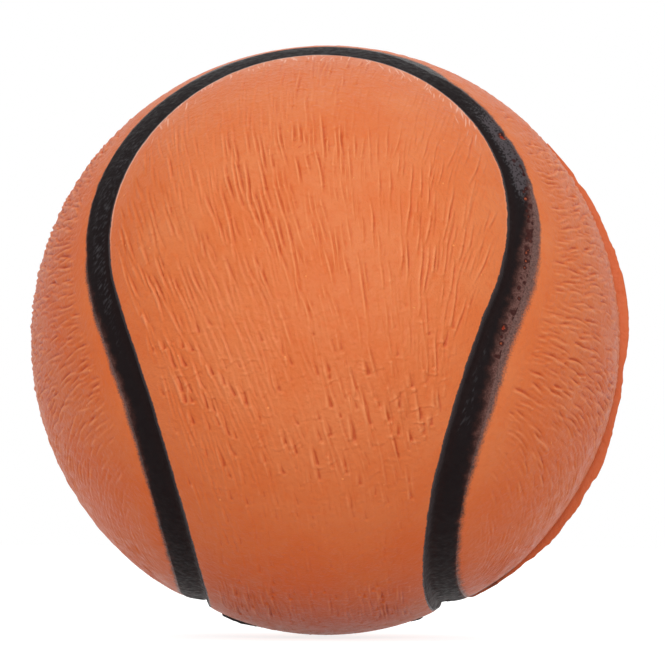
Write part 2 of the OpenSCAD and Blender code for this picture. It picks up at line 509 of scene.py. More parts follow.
def scattered(x, y, pitch, salt, lean_at, draw, spread=(2, 1), stray=9):
    """Adds up marks scattered one to a cell over the plane. Each cell's mark has its own centre,
    lean and chances. draw gets, for each point, the place across and along the nearest marks and
    three chances from 0 to 1, and gives a height."""
    i0, j0 = np.floor(x / pitch[0]).astype(np.int64), np.floor(y / pitch[1]).astype(np.int64)
    total = np.zeros(len(x))
    for di in range(-spread[0], spread[0] + 1):
        for dj in range(-spread[1], spread[1] + 1):
            i, j = i0 + di, j0 + dj
            cx = (i + 0.5 + 0.8 * (chance(salt, i, j) - 0.5)) * pitch[0]
            cy = (j + 0.5 + 0.9 * (chance(salt + 1, i, j) - 0.5)) * pitch[1]
            lean = lean_at(cx, cy) + np.radians(stray) * (2 * chance(salt + 2, i, j) - 1)
            dx, dy = x - cx, y - cy
            total += draw(dx * np.cos(lean) + dy * np.sin(lean),
                          dx * np.sin(lean) - dy * np.cos(lean),
                          chance(salt + 3, i, j), chance(salt + 4, i, j), chance(salt + 5, i, j))
    return total


def upright(x, y):
    """The lean of marks that stand straight up: none."""
    return 0 * x


def line_of(offset, wide):
    """The section of a soft line: exp(-(offset / wide)^2)."""
    return np.exp(-(offset / wide)**2)


def tapered(along, length):
    """1 in the middle of a mark, falling as a parabola to 0 at both its ends."""
    return np.clip(1 - (along / length)**2, 0, None)


def stroke(w, t, length, phase):
    """One thin wavering valley with a low ridge along its left side, fading to both ends."""
    bend = w + 0.17 * mm * np.sin(t / (2.5 * mm) + phase)
    ridge = line_of(bend + 0.54 * mm, 0.36 * mm)
    valley = line_of(bend, 0.26 * mm)
    return tapered(t, length) * (0.7 * ridge - 0.85 * valley)


def fold(w, t, a, b, c):
    """A long stroke, in about half the cells with a shorter one beside it."""
    length = (4.2 + 3.8 * a) * mm
    beside = w - (2.2 * c - 0.6) * mm
    return ((0.4 + 0.6 * b) * stroke(w, t, length, 6 * b)
            + 0.7 * c * (c > 0.45) * stroke(beside, t + (2 * a - 1) * 2.6 * mm, 0.6 * length, 9 * c))


def side_fold(w, t, a, b, c):
    """A fold a little wider and of about two thirds the length."""
    return fold(0.85 * w, 1.6 * t, a, b, c)


def dart(w, t, a, b, c):
    """A wedge-shaped dart, in four cells of five: thin at its top, wider and deeper downwards,
    ending at once in a raised lip, with a low ridge along its left side."""
    length = (1.9 + 2.8 * a * a) * mm
    v = t / length
    down = np.clip((v + 1) / 2, 0, 1)
    half = (0.24 + 0.6 * down * (0.2 + 0.8 * b * b)) * mm
    well = np.clip(1 - np.abs(w + 0.15 * mm * np.sin(t / (0.9 * mm) + 7 * c)) / half, 0, 1)
    inside = band(v, -1.1, -0.5, 0.8, 1.04)
    lip = line_of(w, 0.8 * mm) * line_of(t - 1.12 * length, 0.34 * mm)
    ridge = line_of(w + half + 0.35 * mm, 0.45 * mm) * band(v, -1, 0, 0.7, 1)
    return (0.25 + 0.75 * b) * (c < 0.8) * (-smooth(0, 1, well) * down * inside + 0.35 * lip + 0.4 * ridge)


def cross_fold(w, t, a, b, c):
    """A short shallow crease that lies across the others, in two cells of five."""
    bend = t + 0.4 * mm * np.sin(w / (0.9 * mm) + 6 * b)
    ridge = line_of(bend + 0.5 * mm, 0.4 * mm)
    valley = line_of(bend, 0.3 * mm)
    return (c < 0.4) * tapered(w, (0.8 + 1.7 * a) * mm) * (0.5 * ridge - 0.6 * valley)


def scuff(w, t, a, b, c):
    """A thin pale scratch, a little bent, in four cells of five."""
    bend = w + 0.25 * mm * (b - 0.5) * (t / mm)**2 / 4
    return (c < 0.8) * line_of(bend, 0.17 * mm) * tapered(t, (1.2 + 2.4 * a) * mm)


def blow_hole(w, t, a, b, c):
    """A round pit left by a bubble, in nine cells of ten."""
    return (c < 0.9) * -line_of(np.hypot(w, t), (0.46 + 0.45 * a * a) * mm)


# How far the creases on the front lobe lean off upright, in degrees, by height (rows) and width
# (columns) in shares of the ball's radius, and how deep they are there. Plus leans the top to
# the left.
lean_rows_share = [-0.8, -0.35, 0.1, 0.45, 0.8]
lean_columns_share = [-0.7, -0.35, 0, 0.3, 0.6]
lean_degrees = [
    [8, 5, 0, -3, -6],
    [14, 18, 19, 12, 0],
    [22, 24, 18, 6, -22],
    [16, 18, 15, -1, -14],
    [15, 10, 2, -12, -24],
]
depth_shares = [
    [1, 1, 1, 1, 1],
    [1.05, 0.9, 0.8, 0.95, 1.05],
    [1.75, 1.4, 0.8, 0.95, 1.1],
    [1.1, 0.9, 1.8, 1.1, 1.05],
    [0.8, 0.9, 1.9, 1.1, 1],
]
scuff_degrees = 10
# How far the creases on the side panels fall away from the parting line, by height.
side_heights_share = [-0.9, -0.5, -0.2, 0.1, 0.5]
side_degrees = [48, 38, 18, 4, -6]
side_apart = 200 * mm


def on_plane(x, y, shown_at):
    """A lean as the front view shows it, turned back onto the plane. That view squeezes lengths by
    cos t / cos(t / 2) outwards and by cos(t / 2) round about, t being the tilt off its middle."""
    reach = np.hypot(x, y) / ball_radius
    round_about = np.sqrt(np.clip(1 - reach**2 / 4, 0.1, 1))
    outwards = np.clip(1 - reach**2 / 2, 0.15, 1) / round_about
    shown = np.radians(shown_at(x * round_about / ball_radius, y * round_about / ball_radius))
    way_out = np.arctan2(-x, y)
    return way_out + np.arctan2(np.sin(shown - way_out) / round_about, np.cos(shown - way_out) / outwards)


def main_lean(x, y):
    """The lean of the creases on the main panel, by the table above."""
    return on_plane(x, y, lambda u, v: blend_table(lean_rows_share, lean_columns_share, lean_degrees, v, u))


def scuff_lean(x, y):
    """The lean of the scuffs, the same everywhere as the front view shows it."""
    return on_plane(x, y, lambda u, v: scuff_degrees + 0 * u)


def side_lean(x, y):
    """On the side panels the creases run off the parting line, level at the top and falling away
    from it lower down. The two sides lie apart on the plane, so that they differ."""
    height = y - side_apart * np.sign(y)
    return np.radians(90 - np.interp(height / ball_radius, side_heights_share, side_degrees))


# The cells that the marks are scattered over, across and along, and the depths of the marks.
fold_cell = (2.3 * mm, 8.6 * mm)
dart_cell = (2.8 * mm, 5.4 * mm)
tie_cell = (3.4 * mm, 3.6 * mm)
side_fold_cell = (4.8 * mm, 1.95 * mm)
side_tie_cell = (3.0 * mm, 3.0 * mm)
hole_cell = (1.9 * mm, 1.9 * mm)
scuff_cell = (2.2 * mm, 4 * mm)
fold_depth = 0.42 * mm
low_fold_depth = 0.34 * mm
dart_depth = 0.71 * mm
tie_depth = 0.30 * mm
side_fold_depth = 0.49 * mm
side_tie_depth = 0.2 * mm
hole_depth = 0.45 * mm
chip_way = np.array([0.6215, -0.430, 0.655])
chip_reach = 1.1 * mm
chip_share = 1.8
# Heights between which the creases change. On the main panel folds take over from darts going
# up, the darts end, and all fade towards the bottom, where ticks show again. Folds fade at the top.
fold_start = (-17 * mm, 3 * mm)
dart_end = (-11 * mm, 13 * mm)
low_fade = (-58 * mm, -28 * mm)
top_fade = (44 * mm, 60 * mm)
tick_drops = (68 * mm, 76 * mm, 84 * mm, 92 * mm)
side_low_fade = (-8 * mm, -45 * mm)
# Heights and widths between which there are pits, heights above which the skin is scuffed, and
# above which a painted highlight runs along the main panel's edge.
pit_heights = (-20 * mm, 0, 46 * mm, 56 * mm)
pit_start = (8 * mm, 30 * mm)
scuff_start = (40 * mm, 52 * mm)
edge_highlight_start = (5 * mm, 35 * mm)


def main_creases(places, x, y, salt):
    """The height of the creases on the main panel: folds on its upper part, darts and weaker
    folds on its lower part, cross folds among them, and short ticks again at the very bottom."""
    upper = smooth(*fold_start, y + 6 * mm * lumps(places, 14 * mm, salt + 40))
    dart_free = smooth(*dart_end, y + 6 * mm * lumps(places, 14 * mm, salt + 44))
    low_end = smooth(*low_fade, y)
    top_end = 1 - 0.6 * smooth(*top_fade, y)
    ticks = band(-y, *tick_drops)
    folds = scattered(x, y, fold_cell, salt, main_lean, fold, stray=4)
    darts = scattered(x, y, dart_cell, salt + 10, main_lean, dart, stray=5)
    ties = scattered(x, y, tie_cell, salt + 20, main_lean, cross_fold, (1, 1))
    return (fold_depth * folds * upper * top_end
            + dart_depth * darts * (1 - 0.8 * dart_free) * (0.3 + 0.7 * low_end + 0.35 * ticks)
            + low_fold_depth * folds * (1 - upper) * (0.22 + 0.78 * low_end + 0.75 * ticks)
            + tie_depth * ties * (1 - 0.6 * upper) * (0.25 + 0.75 * low_end))


def side_creases(dirs, salt):
    """The height of the creases on the side panels, weaker at the bottom and the top. They are
    laid out from the parting line, the left panel's far below the right one's."""
    level = dirs[:, 2] * ball_radius
    off_parting = np.arctan2(np.abs(dirs[:, 1]), np.abs(dirs[:, 0])) * ball_radius
    height = level + side_apart * np.sign(dirs[:, 0])
    folds = scattered(-off_parting, height, side_fold_cell, salt + 30, side_lean, side_fold, (1, 2), 7)
    ties = scattered(off_parting, height, side_tie_cell, salt + 50, upright, cross_fold, (1, 1))
    return ((side_fold_depth * folds + side_tie_depth * ties)
            * (1 - 0.6 * smooth(*side_low_fade, level)) * (1 - 0.75 * smooth(*top_fade, level)))


def blow_holes(dirs, x, y, gap, wide, salt):
    """How deep each point lies in a bubble's pit, on the groove's flank high on the right, or in
    the one chip there."""
    pits = scattered(x, y, hole_cell, salt + 60, upright, blow_hole, (1, 1))
    pits *= band(gap, 6.1 * mm, 7.5 * mm, wide - 1.4 * mm, wide - 0.4 * mm)
    pits *= smooth(*pit_start, x) * band(y, *pit_heights)
    return pits - chip_share * line_of(np.linalg.norm(dirs - chip_way, axis=1) * ball_radius, chip_reach)


def wear_marks(dirs, places, x, y, gap, salt):
    """Where the skin is scuffed pale along the top of the main panel: scratches, and with them a
    patchy haze; and a pale line at its very edge, a painted highlight on the rounded edge."""
    level = places[:, 2]
    high = smooth(*scuff_start, level)
    scuffs = scattered(x, y, scuff_cell, salt + 70, scuff_lean, scuff, (2, 1), 22)
    scuffs *= high * band(-gap, 0.2 * mm, 0.8 * mm, 4 * mm, 9 * mm)
    haze = 0.36 * high * smooth(7 * mm, 1 * mm, -gap) * smooth(-0.5, 0.6, lumps(places, 3 * mm, salt + 75))
    # Painted highlight: a pale line along the main panel's rounded edge, where it catches the light.
    haze_and_edge_highlight = line_of(gap + 0.3 * mm, 0.3 * mm) * smooth(*edge_highlight_start, level)
    return scuffs, haze * (gap < 0) + haze_and_edge_highlight * np.where(dirs[:, 0] < 0, 1, 0.5)


def creases(dirs, gap, wide, salt):
    """The height of all moulded relief and of the scuffs, and how deep each point lies in a crease
    or a pit, how high on a ridge, and how far on a scuff or on the painted highlight along the
    panel's edge. The colour lays painted shade by the depth and painted highlight by the height."""
    places = dirs * ball_radius
    reach = np.sqrt(2 / (1 + np.abs(dirs[:, 1])))
    x, y = places[:, 0] * reach, places[:, 2] * reach
    patchy = 0.84 + 0.34 * lumps(places, 17 * mm, salt + 41)
    worked = blend_table(lean_rows_share, lean_columns_share, depth_shares, y / ball_radius, x / ball_radius)
    main = main_creases(places, x, y, salt) * patchy * worked * smooth(1.5 * mm, 5 * mm, -gap)
    sides = side_creases(dirs, salt) * (1.08 * patchy) * smooth(wide + 2 * mm, wide + 7 * mm, gap)
    cut = np.where(gap < wide / 2, main, sides)
    swell = 0.10 * mm * lumps(places, 13 * mm, salt + 42) + 0.05 * mm * lumps(places, 5 * mm, salt + 43)
    pits = blow_holes(dirs, x, y, gap, wide, salt)
    scuffs, haze_and_edge_highlight = wear_marks(dirs, places, x, y, gap, salt)
    # The deep and raised marks let the colour paint shade into the creases and highlight onto the ridges.
    marks = {"deep": np.clip(-cut / (0.36 * mm), 0, 1), "raised": np.clip(cut / (0.3 * mm), 0, 1),
             "pit": -pits, "scuff": np.clip(scuffs + haze_and_edge_highlight, 0, 1)}
    return cut + swell + hole_depth * pits + 0.08 * mm * scuffs, marks


# How far paint ran from the main panel's corners along the parting line, and what stands for
# a place far from any run.
run_left = 4.2 * mm
run_right = 1.9 * mm
no_run = -9 * mm
# How strong the painted grey sheen on the coat is on the left, by height in mm, and the
# heights between which it shows on the right, at its outer edge and over its flank.
wear_heights = [-20, 5, 48, 62]
wear_shares = [0, 1, 1, 0.2]
edge_wear_start = (26 * mm, 38 * mm)
edge_wear_fade = (50 * mm, 62 * mm)
flank_wear_heights = (-32 * mm, -22 * mm, 8 * mm, 20 * mm)
# Heights between which the last edge of the spray grows crisp.
crisp_start = (15 * mm, 32 * mm)
# How far the right side sinks towards its wide flash, and from how far off.
flash_sink = 0.6 * mm
flash_sink_reach = (18 * mm, 4 * mm)


def paint_runs(dirs, gap, wide, salt):
    """How far inside paint that ran along the parting line each point lies: thin lines from the
    main panel's corners at the bottom, longer at the left, and drops at the right."""
    off_parting = np.abs(dirs[:, 1]) * ball_radius
    low = dirs[:, 2] < 0
    run_length = np.where(dirs[:, 0] < 0, run_left, run_right)
    line = np.where(low & (gap < 1 * mm), run_length - off_parting - 0.3 * np.abs(gap), no_run)
    drop = (lumps(dirs * ball_radius, 0.9 * mm, salt + 80) - 0.35) * mm - 0.5 * np.abs(off_parting - 2 * mm)
    return np.maximum(line, np.where(low & (gap > wide) & (gap < 24 * mm) & (dirs[:, 0] > 0), drop, no_run))


def painted_coat_sheen(dirs, gap, solid):
    """How much painted grey sheen lies on the coat, standing in for the lamps' reflection: on the
    left all over its flank, on the right towards its outer edge high up, and over its flank lower
    down."""
    height = dirs[:, 2] * ball_radius
    on_flank = band(gap, 2.9 * mm, 4.1 * mm, solid - 2.2 * mm, solid - 0.5 * mm)
    left = 0.9 * on_flank * np.interp(height / mm, wear_heights, wear_shares)
    by_edge = smooth(3.2 * mm, 6.4 * mm, gap) * smooth(*edge_wear_start, height)
    by_edge *= 1 - 0.7 * smooth(*edge_wear_fade, height)
    right = 1.9 * by_edge + 0.7 * band(height, *flank_wear_heights) * on_flank
    return np.where(dirs[:, 0] < 0, left, right)


def handled(dirs):
    """How much painted light lightens the skin, standing in for the lamps' broad sheen: most on
    the front and the top, and more on the right than on the left."""
    upwards = np.maximum(dirs[:, 2], 0.1 * dirs[:, 2])
    return smooth(0.3, 0.92, np.abs(dirs[:, 1]) * 0.85 + 0.5 * upwards + dirs[:, 0]**3 * 0.33)


def skin_radius(dirs, salt):
    """The radius of the skin in each direction, and the marks that its colour follows: those of
    creases, the gap from the main panel, how far inside the last spray and inside the solid coat
    the point lies, all in mm, where the coat carries painted grey sheen, and how much painted
    light lightens the skin."""
    gap = panel_gap(dirs)
    uneven = 0.24 * mm * lumps(dirs * ball_radius, 2.6 * mm, salt + 81)
    solid, coat = by_side(dirs, solid_left, solid_right), by_side(dirs, coat_left, coat_right)
    wide = np.maximum(groove_wide, coat + 0.3 * mm)
    solid, coat = solid + uneven, coat + uneven
    off_parting = np.abs(dirs[:, 1]) * ball_radius
    edge_blend = 0.55 * mm + 2.4 * mm * smooth(corner_reach, 0, off_parting)
    rise, marks = creases(dirs, gap, wide, salt)
    # Creases fade in the groove and by the parting line, but pits don't fade in the groove.
    calm = smooth(0, groove_wide, np.abs(gap - wide / 2) - 0.45 * wide)
    edge = smooth(1.5 * mm, 5 * mm, off_parting)
    rise *= (0.25 + 0.75 * np.maximum(calm, marks["pit"] > 0.05)) * (0.35 + 0.65 * edge)
    radius = ball_radius - crease_room + groove_height(gap, wide, edge_blend) + rise
    # The right side sinks a little towards its wide flash.
    radius -= flash_sink * smooth(*flash_sink_reach, off_parting) * smooth(0.62, 0.85, dirs[:, 0])
    # The last edge of the spray is crisp high up and soft lower down.
    on_left = dirs[:, 0] < 0
    crisp = 1 + 2.2 * smooth(*crisp_start, dirs[:, 2] * ball_radius) + 0.5 * on_left
    line = paint_runs(dirs, gap, wide, salt)
    marks["deep"] *= edge
    marks["raised"] *= edge
    marks.update(gap=np.where(line > -0.5 * mm, groove_wide, gap) / mm,
                 spray=np.maximum((coat - gap) * crisp, line) / mm,
                 solid=np.maximum((solid - gap) * np.where(on_left, crisp, 1.2), line) / mm,
                 wear=painted_coat_sheen(dirs, gap, solid),
                 handled=handled(dirs))
    return radius, marks


def parting_bend(radius):
    """How much the rounding at the mould's parting line lowers the skin: its full radius, but
    less in the thin skin of the groove's floor."""
    return np.minimum(mould_round, 0.6 * (radius - skin_inside))


front_cells = 780
back_cells = 450
fine_to_coarse = 10
round_steps = 5
front_salt = 100
back_salt = 500
no_mark = -30
# On the map, the middle and half the width of the outer face, the width of each ring round it,
# and the middle and half the width of the inner face beside it.
outer_middle, outer_half, ring_wide = 0.4, 0.37, 0.012
inner_middle, inner_half = 0.91, 0.08
fan_stretch = 1.1


def skin_half(name, sign, salt, cells):
    """One half of the skin as a closed shell: the outer face, the rounding down to the mould's
    land, the flat land, and the inner face, whose coarser border is joined by fans. The map lays
    the outer face on a square with the rings as a frame round it, and the inner face beside it."""
    dirs, square = half_ball(cells, math.sqrt(1 - (mould_land + mould_round) / ball_radius))
    dirs = dirs * (1, sign, 1)
    radius, marks = skin_radius(dirs, salt)
    places, ring_uv = [dirs * radius[:, None]], [square]
    faces = [grid_faces(cells + 1, cells + 1)]
    # The rings: the rounding's arc in steps, and then the land in to the inner face.
    border = square_border(cells)
    around = dirs[border] * (1, 0, 1)
    share_out = np.linalg.norm(around, axis=1)
    around /= share_out[:, None]
    level = share_out * radius[border]
    off_parting = np.abs(dirs[border, 1]) * radius[border]
    bend = parting_bend(level)
    following = np.roll(np.arange(len(border)), -1)
    before, count = border, len(dirs)
    for k in range(1, round_steps + 2):
        turn = math.pi / 2 * min(k, round_steps) / round_steps
        out = level - bend * (1 - math.cos(turn)) if k <= round_steps else np.full(len(level), skin_inside)
        ring = around * out[:, None]
        ring[:, 1] = -sign * (off_parting + (mould_land - off_parting) * math.sin(turn))
        number = count + np.arange(len(border))
        faces.append(np.column_stack([before, number, number[following], before[following]]))
        places.append(ring)
        ring_uv.append(square[border] * (1 + ring_wide * k))
        before, count = number, count + len(border)
    # The inner face, and the triangles that join each of its border points to its share of the
    # last ring.
    coarse_cells = cells // fine_to_coarse
    coarse_dirs, coarse_square = half_ball(coarse_cells, math.sqrt(1 - mould_land / skin_inside))
    places.append(coarse_dirs * (1, sign, 1) * skin_inside)
    inner_faces = grid_faces(coarse_cells + 1, coarse_cells + 1, count)[:, ::-1]
    coarse = square_border(coarse_cells)
    near = (np.arange(len(border)) + fine_to_coarse // 2) // fine_to_coarse % len(coarse)
    fans = np.column_stack([before, count + coarse[near], before[following]])
    seat = np.arange(len(coarse))
    middle = before[seat * fine_to_coarse + fine_to_coarse // 2]
    bridges = np.column_stack([middle, count + coarse[seat], count + coarse[np.roll(seat, -1)]])
    outer_uv = outer_middle + outer_half * np.vstack(ring_uv)
    fan_uv = outer_middle + outer_half * fan_stretch * coarse_square
    inner_uv = inner_middle + inner_half * coarse_square
    all_faces, corners_uv = [], []
    mapped = [(f, inner_uv) for f in faces + [inner_faces]] + [(fans, fan_uv), (bridges, fan_uv)]
    for face, inner_map in mapped:
        face = face[:, ::sign]
        corner = face.ravel()
        outer_place = outer_uv[np.minimum(corner, count - 1)]
        inner_place = inner_map[np.maximum(corner - count, 0)]
        all_faces.append(face)
        corners_uv.append(np.where((corner >= count)[:, None], inner_place, outer_place))
    for mark, values in marks.items():
        rings = np.tile(values[border], round_steps + 1)
        marks[mark] = np.concatenate([values, rings, np.full(len(coarse_dirs), no_mark)])
    return laid(name, np.vstack(places), all_faces, np.vstack(corners_uv), marks)


front = skin_half("front_skin_moulding", 1, front_salt, front_cells)
back = skin_half("back_skin_moulding", -1, back_salt, back_cells)
for piece, node in ((front, "front_skin"), (back, "back_skin")):
    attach(piece, "root")
    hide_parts(node)

# The first black is lighter as a painted highlight near the main panel's edge; the two greys after the three
# blacks are painted sheen.
paint_edge_highlight = colour(52, 44, 45)
paint_floor = colour(27, 15, 15)
paint_wall = colour(22, 14, 15)
paint_sheen = colour(60, 57, 59)
paint_bright_sheen = colour(76, 69, 72)
thin_near = colour(40, 30, 30)
thin_far = colour(102, 76, 72)
scuff_and_highlight_pale = colour(244, 190, 165)
pimple_pale = colour(244, 150, 84)
pimple_apart = 6.5 * mm
streak_turn = math.radians(28)
streak_stretch = (1, 1, 4)


def mark_of(tree, name):
    """The named number that the mesh carries for each point."""
    node = tree.nodes.new("ShaderNodeAttribute")
    node.attribute_name = name
    return node.outputs["Fac"]


def sprayed(tree, under):
    """Lays the spray over a colour: specks at its last edge, a thin brownish veil with dark flecks,
    then solid black with painted grey sheen in streaks on the flank, a painted lighter highlight
    near the main panel, and a crisp edge there. Also gives how solid it is."""
    gap = mark_of(tree, "gap")
    ragged = sums(tree, "MULTIPLY_ADD", mottle(tree, 0.35 * mm, 3), 2.4, -1.2)
    patches = sums(tree, "MULTIPLY_ADD", mottle(tree, 1.8 * mm, 3), 3.6, -1.8)
    reach = sums(tree, "ADD", mark_of(tree, "spray"), ragged)
    depth = sums(tree, "ADD", mark_of(tree, "solid"), patches)
    edge = between(tree, sums(tree, "MULTIPLY_ADD", mottle(tree, 0.7 * mm), 0.5, gap), 0.05, 0.35)
    thin = sums(tree, "MULTIPLY", between(tree, reach, -0.9, 0.9), edge)
    solid = sums(tree, "MULTIPLY", between(tree, sums(tree, "ADD", depth, ragged), -2.4, 1.2), edge)
    veil = tinted(tree, thin_far, thin_near, depth, -3.0, 0.5)
    veil = tinted(tree, veil, thin_near, mottle(tree, 0.4 * mm, 4), 0.45, 0.6, 0.65)
    veiled = blended(tree, sums(tree, "MULTIPLY", thin, 0.95), under, veil)
    # Painted sheen: grey streaks on the flank, and a stronger even grey high on the right, stand in for the
    # lamps' reflection on the black paint.
    wear = mark_of(tree, "wear")
    streaks = sums(tree, "ADD", mottle(tree, 0.5 * mm, 3, streak_stretch, streak_turn),
                   sums(tree, "MULTIPLY_ADD", wear, 0.2, -0.2))
    streaks = sums(tree, "MULTIPLY", between(tree, streaks, 0.46, 0.71), between(tree, wear, 0.0, 1.0))
    sheen_grey = tinted(tree, paint_sheen, paint_bright_sheen, wear, 1.0, 1.8)
    # Painted highlight: the black is lighter grey near the main panel's edge.
    black = tinted(tree, paint_edge_highlight, paint_floor, gap, 1.4, 2.6)
    black = tinted(tree, black, paint_wall, gap, 3.0, 5.0)
    black = blended(tree, streaks, black, sheen_grey)
    return blended(tree, solid, veiled, black), thin


def moulded_skin(name, pale, light, middle_orange, dark, crease_shade):
    """Satin moulded foam skin: two close oranges in soft blotches, lighter towards the front and
    top as painted light, darker and redder in the creases as painted shade and paler on the ridges
    as painted highlight, fine wrinkles and grain, with the spray over it where it reaches."""
    material, tree, shader = new_finish(name, 0.42, 0.22)
    blotch = between(tree, mottle(tree, 16 * mm, 4), 0.3, 0.7, 0.2, 0.8)
    # Painted light: the skin is lighter towards the front and the top, and a little to the right, standing
    # in for the lamps' broad sheen.
    base = blended(tree, mark_of(tree, "handled"), blended(tree, blotch, middle_orange, dark),
                   blended(tree, blotch, light, middle_orange))
    base = tinted(tree, base, dark, mottle(tree, 1.6 * mm, 3), 0.45, 0.8, 0.35)
    # Painted shade darkens and reddens the creases and painted highlight pales the ridges; the scuff mark
    # pales the scratches and paints a highlight along the main panel's edge.
    for mark, full, most, tint in (("deep", 1.0, 0.6, crease_shade), ("raised", 1.0, 0.5, pale),
                                   ("scuff", 0.9, 0.7, scuff_and_highlight_pale)):
        base = tinted(tree, base, tint, mark_of(tree, mark), 0.1, full, most)
    pimples = between(tree, spots(tree, pimple_apart), 0.03, 0.055, 1.0, 0.0)
    base = blended(tree, sums(tree, "MULTIPLY", pimples, 0.7), base, pimple_pale)
    painted, thin = sprayed(tree, base)
    tree.links.new(painted, shader.inputs["Base Color"])
    sheen = between(tree, mottle(tree, 2.2 * mm, 3), 0.3, 0.7, 0.36, 0.5)
    tree.links.new(sums(tree, "MULTIPLY_ADD", thin, -0.08, sheen), shader.inputs["Roughness"])
    bumped(tree, shader, [(mottle(tree, 1.2 * mm, 4), 0.34 * mm), (mottle(tree, 0.3 * mm), 0.05 * mm),
                          (pimples, 0.08 * mm)])
    return material


# The first orange is painted highlight on the ridges and the last painted shade in the creases; the second
# shows where the painted front light is strongest.
skin_orange = moulded_skin(
    "moulded_orange_skin", colour(246, 154, 100), colour(221, 126, 74), colour(216, 108, 51),
    colour(213, 93, 31), colour(180, 62, 27))
front.data.materials.append(skin_orange)
back.data.materials.append(skin_orange)

# Parting flash
# A thin fin of skin foam squeezed out between the mould's halves. It is ragged and wide down the
# right side of the ball, and trimmed close everywhere else and where the groove crosses it.
flash_most = 1.9 * mm
flash_half = 0.34 * mm
tip_limit = 76.6 * mm
flash_seat = 0.05 * mm
trimmed_share = 0.02
painted_share = 0.38
# How far paint ran over the fin and over what length those stretches taper and fade, and how far
# in front of the parting line the skin is taken that they stand clear of.
fin_run_left = 4 * mm
run_taper_left = 1.5 * mm
run_taper_right = 4 * mm
run_fade = 2 * mm
paint_ahead = 3 * mm
# The middle of the ragged right side, and how far it reaches both ways, fading between the two.
right_middle_degrees = -14
right_reach_degrees = 30
right_end_degrees = 56
# Width of the fin by the angle round the parting line, counter-clockwise from +X.
flash_degrees = [-180, -150, -120, -90, -65, -50, -43, -35, -30, -24, -17, -11, -6,
                 -2, 4, 9, 15, 22, 30, 32, 34, 38, 50, 90, 130, 180]
flash_shares = [0.30, 0.25, 0.18, 0.12, 0.15, 0.30, 0.60, 0.72, 0.62, 0.78, 0.45, 0.42, 0.20,
                0.45, 1.00, 0.90, 0.66, 0.50, 0.44, 0.22, 0.40, 0.30, 0.20, 0.15, 0.22, 0.30]
# The fin's section from its foot to its tip: how far out each point is, and half the thickness.
out_shares = np.array([0, 0.12, 0.3, 0.5, 0.7, 0.88, 0.97])
thick_shares = np.array([1, 0.9, 0.8, 0.72, 0.64, 0.55, 0.36])
flash_rows = 6
flash_stations = 240 * flash_rows


def hoop_faces(stations, around):
    """The quads of a hoop: a closed section of points carried round stations and back."""
    i, j = [m.ravel() for m in np.meshgrid(np.arange(stations), np.arange(around), indexing="ij")]
    here, there = i * around, (i + 1) % stations * around
    j_next = (j + 1) % around
    return np.column_stack([here + j, there + j, there + j_next, here + j_next])


def hoop_map(stations, around, rows):
    """A place on the map for each corner of hoop_faces: the hoop is cut into rows, laid one above
    the other."""
    i, j = [m.ravel() for m in np.meshgrid(np.arange(stations), np.arange(around), indexing="ij")]
    per_row = stations // rows
    row, along = i // per_row, i % per_row
    corners = [((along + p) / per_row * 0.98 + 0.01, (row + 0.02 + 0.94 * (j + q) / around) / rows)
               for p, q in ((0, 0), (1, 0), (1, 1), (0, 1))]
    return np.stack([np.column_stack(c) for c in corners], axis=1).reshape(-1, 2)


turn = np.linspace(0, 2 * math.pi, flash_stations, endpoint=False)
degrees = (np.degrees(turn) + 180) % 360 - 180
out_dirs = np.column_stack([np.cos(turn), 0 * turn, np.sin(turn)])
out_places = out_dirs * ball_radius
on_left = out_dirs[:, 0] < 0
radius, marks = skin_radius(out_dirs, front_salt)
gap = panel_gap(out_dirs)
share = np.interp(degrees, flash_degrees, flash_shares)
right_side = smooth(right_end_degrees, right_reach_degrees, np.abs(degrees - right_middle_degrees))
# Where paint ran over the fin at the bottom, the fin stands clear of the skin just in front of it.
ahead = out_dirs - (0, paint_ahead / ball_radius, 0)
ahead /= np.linalg.norm(ahead, axis=1)[:, None]
ahead_gap = panel_gap(ahead)
ahead_radius, _ = skin_radius(ahead, front_salt)
run = np.where(on_left, fin_run_left, run_right) - 0.3 * np.abs(ahead_gap)
painted_over = np.where((ahead_gap < 0) & (out_dirs[:, 2] < 0), np.clip(run / run_fade, 0, 1), 0)
proud = np.clip(1.25 * share - 0.25 + 0.25 * right_side, trimmed_share + painted_share * painted_over, 1)
ragged = 0.86 + 0.10 * lumps(out_places, 2.4 * mm, 21) + 0.06 * lumps(out_places, 0.9 * mm, 22)
nicks = mm * (0.25 * lumps(out_places, 3.6 * mm, 24) + 0.12 * lumps(out_places, 1.3 * mm, 25))
sway = 0.22 * mm * lumps(out_places, 6 * mm, 23)
# The fin sinks into the skin where the groove crosses it, but for its painted stretches.
off_groove = smooth(-0.5 * mm, 4 * mm, np.abs(gap - groove_wide / 2) - 0.5 * groove_wide)
in_panel = smooth(0, np.where(on_left, run_taper_left, run_taper_right), -ahead_gap)
off_groove = np.maximum(off_groove, (painted_over > 0) * in_panel)
root = radius - parting_bend(radius)
base = np.where(painted_over > 0, np.maximum(radius, ahead_radius), radius)
base = np.where(right_side > 0, np.maximum(radius, ball_radius - crease_room), base)
tip = root + off_groove * (base + crease_room * proud + flash_most * proud * ragged - root)
tip = np.minimum(tip + off_groove * right_side * nicks, tip_limit)
rise = np.concatenate([[0], out_shares, [1], out_shares[::-1], [0]])
half = np.concatenate([[1], thick_shares, [0], -thick_shares[::-1], [-1]])
level = root[:, None] + rise * (tip - root)[:, None]
level[:, 0] = level[:, -1] = skin_inside + flash_seat
places = out_dirs[:, None, :] * level[:, :, None]
places[:, :, 1] = half * flash_half + rise**2 * sway[:, None] * off_groove[:, None]
marks = {mark: np.repeat(values, len(rise)) for mark, values in marks.items()}
flash = laid("flash_fin", places.reshape(-1, 3), [hoop_faces(flash_stations, len(rise))],
             hoop_map(flash_stations, len(rise), flash_rows), marks)
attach(flash, "root")
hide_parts("parting_flash")
